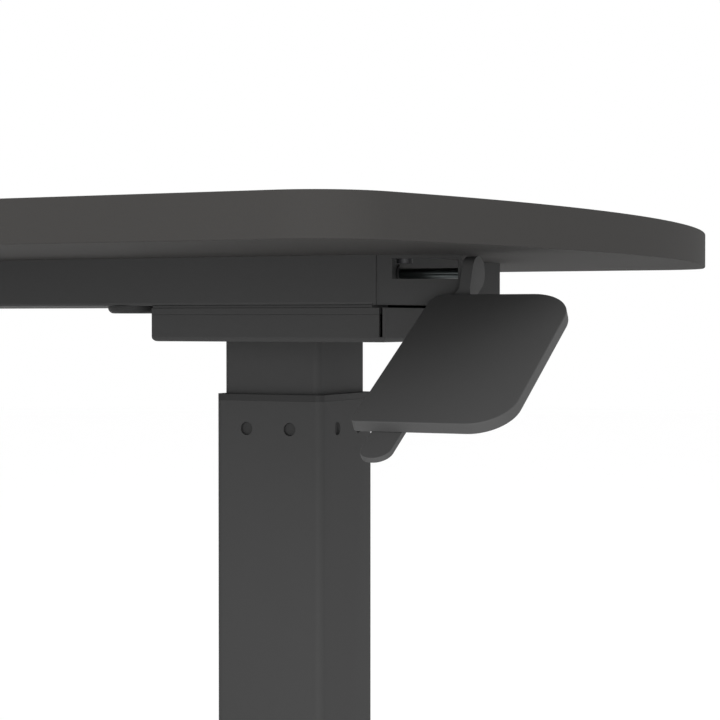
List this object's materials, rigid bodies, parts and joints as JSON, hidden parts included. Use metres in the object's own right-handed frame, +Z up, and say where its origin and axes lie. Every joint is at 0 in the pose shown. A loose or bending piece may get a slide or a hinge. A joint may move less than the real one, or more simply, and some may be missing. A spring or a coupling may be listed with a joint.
{
  "type": "height adjustable desk",
  "caption": "Height adjustable desk: board with bowed ends on two telescoping square gas-spring columns, raised and lowered by a release paddle under its right-hand end.",
  "frame": {"origin": "on the floor, under the middle of the tabletop", "axes": "+X to the user's right along the tabletop, +Y away from the user, +Z up"},
  "size_m": [1.2, 0.6, 0.74],
  "materials": {
    "charcoal_laminate": "matt charcoal laminate on a particle board core",
    "charcoal_powder_coat": "fine-textured charcoal powder coat on folded and welded steel",
    "lever_coat": "smooth charcoal powder coat, a shade lighter than the frame",
    "black_plastic": "moulded charcoal nylon",
    "paddle_plastic": "smooth matt moulded plastic",
    "natural_nylon": "uncoloured moulded nylon",
    "black_rubber": "matt black rubber",
    "zinc_plate": "bright zinc plate",
    "bright_rod": "ground and plated steel rod",
    "black_oxide": "black oxide on fasteners",
    "ground_steel": "ground and oiled steel, glossy",
    "cylinder_enamel": "gloss black enamel"
  },
  "bodies": {
    "base": {"outer_tube_left": "charcoal_powder_coat", "outer_tube_right": "charcoal_powder_coat", "guide_bush_left": "black_plastic", "guide_bush_right": "black_plastic", "base_plate_left": "charcoal_powder_coat", "base_plate_right": "charcoal_powder_coat", "foot_beam_left": "charcoal_powder_coat", "foot_beam_right": "charcoal_powder_coat", "foot_end_caps": "black_plastic", "foot_bolts": "black_oxide", "foot_nuts": "zinc_plate", "foot_inserts": "zinc_plate", "gas_cylinder_left": "cylinder_enamel", "gas_cylinder_right": "cylinder_enamel", "gas_glands": "black_plastic", "cylinder_nuts": "zinc_plate"},
    "top": {"tabletop": "charcoal_laminate", "frame_tray": "charcoal_powder_coat", "tray_screws": "black_oxide", "tray_plugs": "black_plastic", "spacer_strips": "charcoal_powder_coat", "head_plate_left": "charcoal_powder_coat", "head_plate_right": "charcoal_powder_coat", "head_bracket_left": "charcoal_powder_coat", "head_bracket_right": "charcoal_powder_coat", "head_bolts": "black_oxide", "head_nuts": "zinc_plate", "inner_tube_left": "charcoal_powder_coat", "inner_tube_right": "charcoal_powder_coat", "guide_shoe_left": "natural_nylon", "guide_shoe_right": "natural_nylon", "gas_rod_left": "bright_rod", "gas_rod_right": "bright_rod", "gas_pistons": "zinc_plate", "rod_nuts": "zinc_plate", "shaft_bushes": "black_plastic", "shaft_supports": "zinc_plate", "support_screws": "black_oxide", "lever_bracket": "charcoal_powder_coat", "lever_bracket_screws": "black_oxide", "return_spring": "zinc_plate"},
    "lever": {"release_shaft": "ground_steel", "release_cams": "zinc_plate", "lever_hub": "ground_steel", "lever_arm": "lever_coat", "paddle": "paddle_plastic", "paddle_screws": "black_oxide", "shaft_clip": "black_oxide"},
    "pin_left": {"release_pin_left": "zinc_plate"},
    "pin_right": {"release_pin_right": "zinc_plate"},
    "foot_left_front": {"levelling_foot_left_front": "black_rubber"},
    "foot_left_back": {"levelling_foot_left_back": "black_rubber"},
    "foot_right_front": {"levelling_foot_right_front": "black_rubber"},
    "foot_right_back": {"levelling_foot_right_back": "black_rubber"}
  },
  "joints": [
    {"name": "lift", "type": "slide", "parent": "base", "child": "top", "axis": [0, 0, 1], "range_m": [0, 0.4]},
    {"name": "lever_turn", "type": "hinge", "parent": "top", "child": "lever", "pos_m": [0.469, -0.062, 0.7075], "axis": [-1, 0, 0], "range_deg": [0, 5], "stiffness_Nm_per_rad": 1.5, "springref_deg": -17.19},
    {"name": "pin_left_press", "type": "slide", "parent": "top", "child": "pin_left", "axis": [0, 0, -1], "range_m": [0, 0.0056]},
    {"name": "pin_right_press", "type": "slide", "parent": "top", "child": "pin_right", "axis": [0, 0, -1], "range_m": [0, 0.0056]},
    {"name": "foot_left_front_level", "type": "slide", "parent": "base", "child": "foot_left_front", "axis": [0, 0, -1], "range_m": [0, 0.01]},
    {"name": "foot_left_back_level", "type": "slide", "parent": "base", "child": "foot_left_back", "axis": [0, 0, -1], "range_m": [0, 0.01]},
    {"name": "foot_right_front_level", "type": "slide", "parent": "base", "child": "foot_right_front", "axis": [0, 0, -1], "range_m": [0, 0.01]},
    {"name": "foot_right_back_level", "type": "slide", "parent": "base", "child": "foot_right_back", "axis": [0, 0, -1], "range_m": [0, 0.01]}
  ],
  "couplings": [
    {"joint": "pin_left_press", "follows": "lever_turn", "m_per_rad": 0.062},
    {"joint": "pin_right_press", "follows": "lever_turn", "m_per_rad": 0.062}
  ]
}
